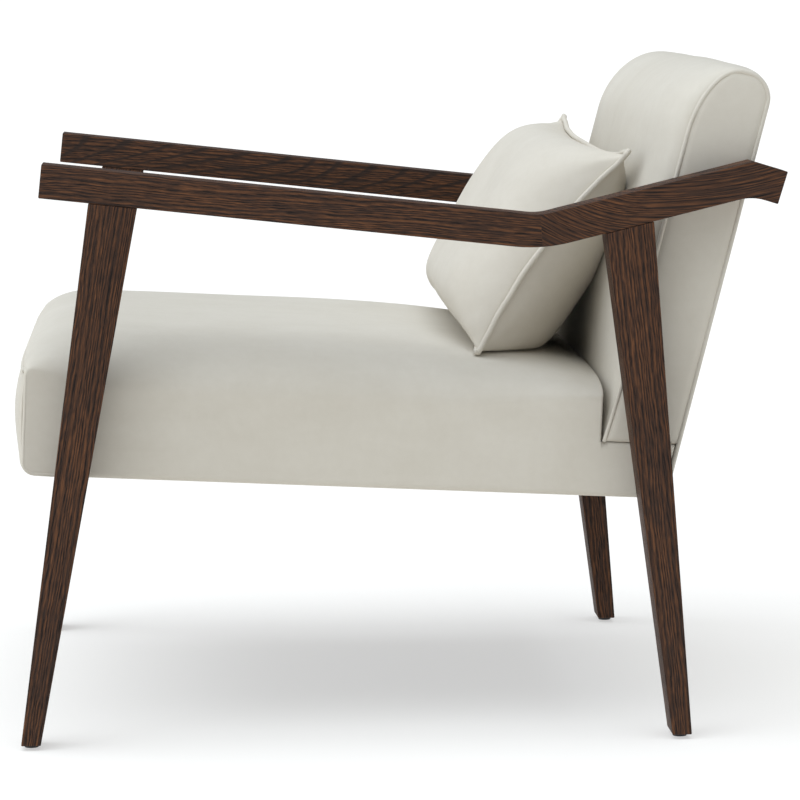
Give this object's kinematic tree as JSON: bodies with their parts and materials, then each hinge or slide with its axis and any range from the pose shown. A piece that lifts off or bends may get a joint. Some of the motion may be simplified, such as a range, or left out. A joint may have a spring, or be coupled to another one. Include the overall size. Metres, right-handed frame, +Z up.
{
  "type": "upholstered lounge chair",
  "caption": "Low lounge chair with cranked wooden arms, tapered wooden legs, a crowned upholstered seat and back, and a loose piped cushion.",
  "frame": {"origin": "on the floor, under the middle of the chair's bounding box", "axes": "+Z up, -Y the front of the chair, +X the sitter's left"},
  "size_m": [0.74, 0.8088, 0.7073],
  "materials": {
    "dark_wood": "dark stain with a satin lacquer",
    "pale_wood": "raw planed beech",
    "cover_cloth": "short pile velvet",
    "cushion_cloth": "short pile velvet",
    "padding": "open-cell foam",
    "fibre": "loose fibre",
    "felt": "pressed felt",
    "webbing": "woven strap",
    "dust_cloth": "thin woven lining",
    "steel": "zinc plated",
    "glide": "moulded"
  },
  "bodies": {
    "chair": {"front_leg_left": "dark_wood", "front_leg_right": "dark_wood", "rear_leg_left": "dark_wood", "rear_leg_right": "dark_wood", "arm_front_left": "dark_wood", "arm_front_right": "dark_wood", "arm_rear_left": "dark_wood", "arm_rear_right": "dark_wood", "front_leg_tenon_left": "pale_wood", "front_leg_tenon_right": "pale_wood", "rear_leg_tenon_left": "pale_wood", "rear_leg_tenon_right": "pale_wood", "arm_tenon_left": "pale_wood", "arm_tenon_right": "pale_wood", "front_glide_left": "glide", "front_glide_right": "glide", "rear_glide_left": "glide", "rear_glide_right": "glide", "front_leg_screw_left": "steel", "front_leg_screw_right": "steel", "rear_leg_screw_left": "steel", "rear_leg_screw_right": "steel", "arm_screw_left": "steel", "arm_screw_right": "steel", "back_screw_left": "steel", "back_screw_right": "steel", "seat_cover": "cover_cloth", "seat_front_band": "cover_cloth", "seat_band_piping": "cover_cloth", "seat_foam": "padding", "seat_felt": "felt", "seat_spring_1": "steel", "seat_spring_2": "steel", "seat_spring_3": "steel", "seat_spring_4": "steel", "seat_spring_5": "steel", "seat_clip_strip_front": "steel", "seat_clip_strip_middle": "steel", "seat_rail_front": "pale_wood", "seat_rail_middle": "pale_wood", "seat_rail_rear": "pale_wood", "seat_rail_left": "pale_wood", "seat_rail_right": "pale_wood", "dust_cover": "dust_cloth", "back_cover": "cover_cloth", "back_side_panel_left": "cover_cloth", "back_side_panel_right": "cover_cloth", "back_piping_left": "cover_cloth", "back_piping_right": "cover_cloth", "back_foam": "padding", "back_webbing": "webbing", "back_upright_left": "pale_wood", "back_upright_right": "pale_wood", "back_rail_top": "pale_wood", "back_rail_middle": "pale_wood", "back_rail_bottom": "pale_wood"},
    "cushion": {"cushion_front_panel": "cushion_cloth", "cushion_rear_panel": "cushion_cloth", "cushion_filling": "fibre", "cushion_piping": "cushion_cloth"}
  },
  "joints": [
    {"name": "cushion_lift", "type": "slide", "parent": "chair", "child": "cushion", "axis": [0, 0, 1], "range_m": [0, 0.45]}
  ]
}
